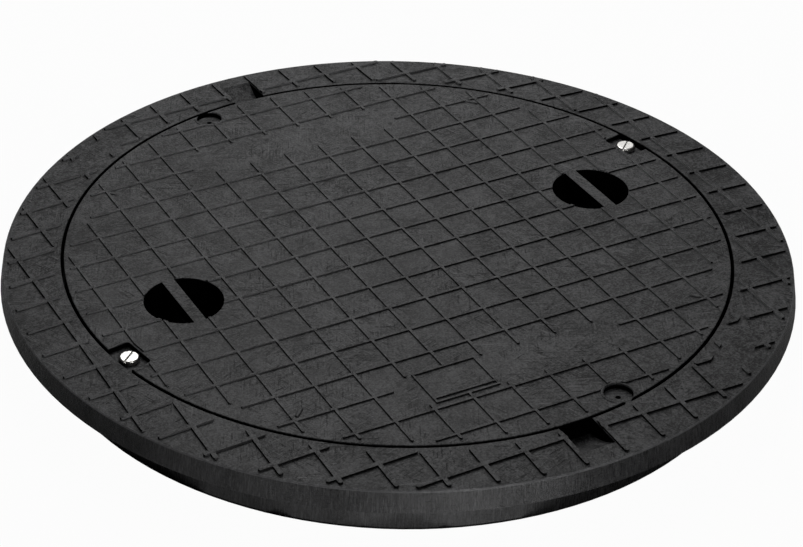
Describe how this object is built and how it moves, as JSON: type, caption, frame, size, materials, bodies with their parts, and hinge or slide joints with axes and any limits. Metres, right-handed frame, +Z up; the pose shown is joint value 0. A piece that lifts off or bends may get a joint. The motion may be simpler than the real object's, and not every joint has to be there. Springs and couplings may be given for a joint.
{
  "type": "insulated manhole cover",
  "caption": "Round plastic shaft cover with a flanged collar frame, ribbed screw-down lid with grip cups, seal ring and insulating disc.",
  "frame": {"origin": "centre of the frame's collar foot", "axes": "+Z up out of the lid's top; +X from the lid's centre towards a grip cup"},
  "size_m": [0.787, 0.787, 0.0746],
  "materials": {
    "frame_plastic": "mottled charcoal recycled plastic",
    "lid_plastic": "mottled charcoal recycled plastic",
    "seal_rubber": "matt",
    "insulating_foam": "beaded foam",
    "stainless_steel": "turned",
    "zinc_steel": "zinc plated",
    "insert_brass": "satin"
  },
  "bodies": {
    "root": {"frame": "frame_plastic", "lid": "lid_plastic", "seal_ring": "seal_rubber", "insulation_disc": "insulating_foam", "lock_screw_right": "stainless_steel", "lock_washer_right": "stainless_steel", "lock_insert_right": "insert_brass", "lock_screw_left": "stainless_steel", "lock_washer_left": "stainless_steel", "lock_insert_left": "insert_brass", "foam_screw_1": "zinc_steel", "foam_screw_2": "zinc_steel", "foam_screw_3": "zinc_steel", "foam_screw_4": "zinc_steel", "foam_washer_1": "zinc_steel", "foam_washer_2": "zinc_steel", "foam_washer_3": "zinc_steel", "foam_washer_4": "zinc_steel"}
  },
  "joints": []
}
